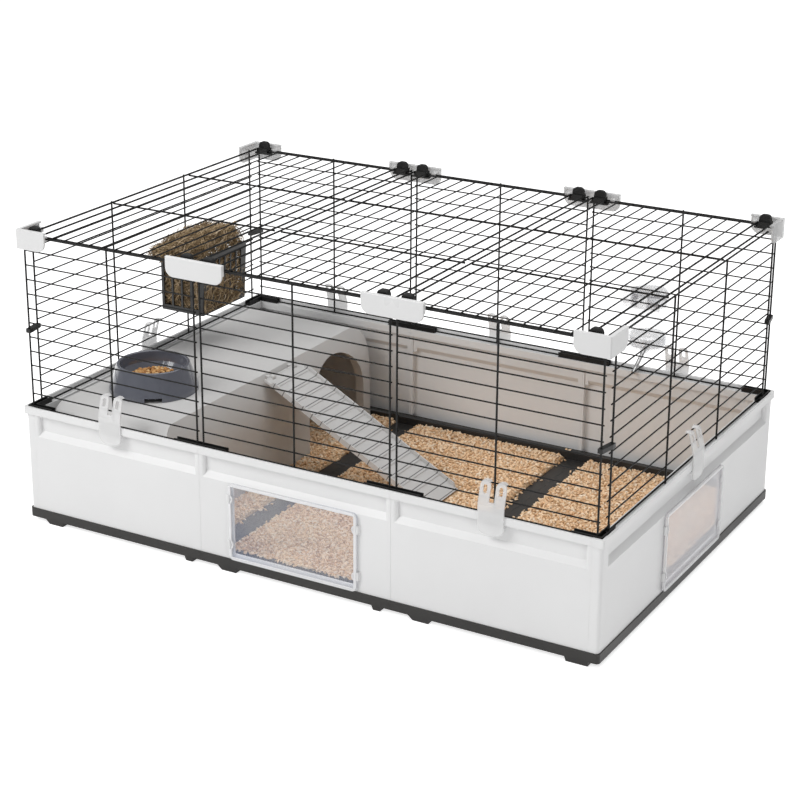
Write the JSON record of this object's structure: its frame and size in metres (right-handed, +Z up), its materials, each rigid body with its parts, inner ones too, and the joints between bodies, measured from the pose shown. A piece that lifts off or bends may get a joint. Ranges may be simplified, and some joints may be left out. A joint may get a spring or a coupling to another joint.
{
  "type": "rabbit cage",
  "caption": "Long modular rabbit cage: moulded low walls, clear doors, wire upper part with lifting roof panels, hideout with ramp, bowl, hay rack and water bottle.",
  "frame": {"origin": "middle of the bounding box, on the floor", "axes": "+X along the front to the right, +Y from front to back, +Z up"},
  "size_m": [1.08, 0.7876, 0.5263],
  "materials": {
    "wall_plastic": "white, fine moulded texture",
    "base_plastic": "dark grey, moulded",
    "clear_plastic": "clear, moulded",
    "black_wire": "black coated wire, satin",
    "cap_plastic": "white, smooth",
    "black_plastic": "black, moulded",
    "clip_plastic": "translucent white",
    "shelf_plastic": "light grey, moulded",
    "bowl_plastic": "dark slate, glossy",
    "feed_pellets": "orange-brown pellets",
    "hay_stems": "dry stems",
    "litter_pellets": "pale wood pellets",
    "rack_plastic": "dark grey, moulded",
    "bottle_plastic": "clear, blown",
    "bottle_grey": "grey translucent",
    "spout_steel": "polished"
  },
  "bodies": {
    "cage": {"floor_tray_left": "base_plastic", "floor_tray_mid": "base_plastic", "floor_tray_right": "base_plastic", "front_wall_left": "wall_plastic", "front_wall_mid": "wall_plastic", "front_wall_right": "wall_plastic", "back_wall_left": "wall_plastic", "back_wall_mid": "wall_plastic", "back_wall_right": "wall_plastic", "side_wall_left": "wall_plastic", "side_wall_right": "wall_plastic", "corner_posts": "wall_plastic", "front_grille_left": "black_wire", "front_grille_mid": "black_wire", "front_grille_right": "black_wire", "back_grille_left": "black_wire", "back_grille_mid": "black_wire", "back_grille_right": "black_wire", "side_grille_left": "black_wire", "side_grille_right": "black_wire", "front_joint_caps": "cap_plastic", "back_joint_caps": "cap_plastic", "corner_cap_left_front": "cap_plastic", "corner_cap_right_front": "cap_plastic", "corner_cap_right_back": "cap_plastic", "corner_cap_left_back": "cap_plastic", "seam_foot_bars": "black_plastic", "corner_foot_bars": "black_plastic", "corner_wire_ties": "black_plastic", "rear_catches": "black_plastic", "hideout_shelf": "shelf_plastic", "hay_rack": "rack_plastic", "hay": "hay_stems", "litter_left": "litter_pellets", "litter_mid": "litter_pellets", "litter_right": "litter_pellets", "bottle": "bottle_plastic", "bottle_cap": "bottle_grey", "spout": "spout_steel", "bottle_bracket": "bottle_grey"},
    "roof_left": {"roof_grille_left": "black_wire", "front_catches_left": "black_plastic"},
    "roof_mid": {"roof_grille_mid": "black_wire", "front_catches_mid": "black_plastic"},
    "roof_right": {"roof_grille_right": "black_wire", "front_catches_right": "black_plastic"},
    "front_door": {"front_door": "clear_plastic"},
    "side_door": {"side_door": "clear_plastic"},
    "ramp": {"ramp": "shelf_plastic"},
    "bowl": {"food_bowl": "bowl_plastic", "feed": "feed_pellets"},
    "spout_ball": {"spout_ball": "spout_steel"},
    "rim_clip_front_left": {"rim_clip_front_left": "clip_plastic"},
    "rim_clip_front_right": {"rim_clip_front_right": "clip_plastic"},
    "rim_clip_back_left": {"rim_clip_back_left": "clip_plastic"},
    "rim_clip_back_mid": {"rim_clip_back_mid": "clip_plastic"},
    "rim_clip_back_right": {"rim_clip_back_right": "clip_plastic"},
    "rim_clip_side_left": {"rim_clip_side_left": "clip_plastic"},
    "rim_clip_side_right": {"rim_clip_side_right": "clip_plastic"}
  },
  "joints": [
    {"name": "roof_left_hinge", "type": "hinge", "parent": "cage", "child": "roof_left", "pos_m": [-0.358, 0.3079, 0.5088], "axis": [-1, 0, 0], "range_deg": [0, 110]},
    {"name": "roof_mid_hinge", "type": "hinge", "parent": "cage", "child": "roof_mid", "pos_m": [0, 0.3079, 0.5088], "axis": [-1, 0, 0], "range_deg": [0, 110]},
    {"name": "roof_right_hinge", "type": "hinge", "parent": "cage", "child": "roof_right", "pos_m": [0.358, 0.3079, 0.5088], "axis": [-1, 0, 0], "range_deg": [0, 110]},
    {"name": "front_door_hinge", "type": "hinge", "parent": "cage", "child": "front_door", "pos_m": [-0.12, -0.39085, 0.092], "axis": [0, 0, -1], "range_deg": [0, 120]},
    {"name": "side_door_hinge", "type": "hinge", "parent": "cage", "child": "side_door", "pos_m": [0.537, -0.15085, 0.092], "axis": [0, 0, -1], "range_deg": [0, 120]},
    {"name": "ramp_hinge", "type": "hinge", "parent": "cage", "child": "ramp", "pos_m": [-0.267, -0.00085, 0.199], "axis": [0, -1, 0], "range_deg": [0, 85]},
    {"name": "bowl_lift", "type": "slide", "parent": "cage", "child": "bowl", "axis": [0, 0, 1], "range_m": [0, 0.1]},
    {"name": "spout_ball_slide", "type": "slide", "parent": "cage", "child": "spout_ball", "axis": [0, 0.848, 0.5299], "range_m": [0, 0.0015]},
    {"name": "rim_clip_front_left_pivot", "type": "hinge", "parent": "cage", "child": "rim_clip_front_left", "pos_m": [-0.3535, -0.38845, 0.1942], "axis": [1, 0, 0], "range_deg": [0, 25]},
    {"name": "rim_clip_front_right_pivot", "type": "hinge", "parent": "cage", "child": "rim_clip_front_right", "pos_m": [0.3535, -0.38845, 0.1942], "axis": [1, 0, 0], "range_deg": [0, 25]},
    {"name": "rim_clip_back_left_pivot", "type": "hinge", "parent": "cage", "child": "rim_clip_back_left", "pos_m": [-0.3535, 0.32675, 0.1942], "axis": [-1, 0, 0], "range_deg": [0, 25]},
    {"name": "rim_clip_back_mid_pivot", "type": "hinge", "parent": "cage", "child": "rim_clip_back_mid", "pos_m": [0, 0.32675, 0.1942], "axis": [-1, 0, 0], "range_deg": [0, 25]},
    {"name": "rim_clip_back_right_pivot", "type": "hinge", "parent": "cage", "child": "rim_clip_back_right", "pos_m": [0.3535, 0.32675, 0.1942], "axis": [-1, 0, 0], "range_deg": [0, 25]},
    {"name": "rim_clip_side_left_pivot", "type": "hinge", "parent": "cage", "child": "rim_clip_side_left", "pos_m": [-0.5346, -0.03085, 0.1942], "axis": [0, -1, 0], "range_deg": [0, 25]},
    {"name": "rim_clip_side_right_pivot", "type": "hinge", "parent": "cage", "child": "rim_clip_side_right", "pos_m": [0.5346, -0.03085, 0.1942], "axis": [0, 1, 0], "range_deg": [0, 25]}
  ]
}
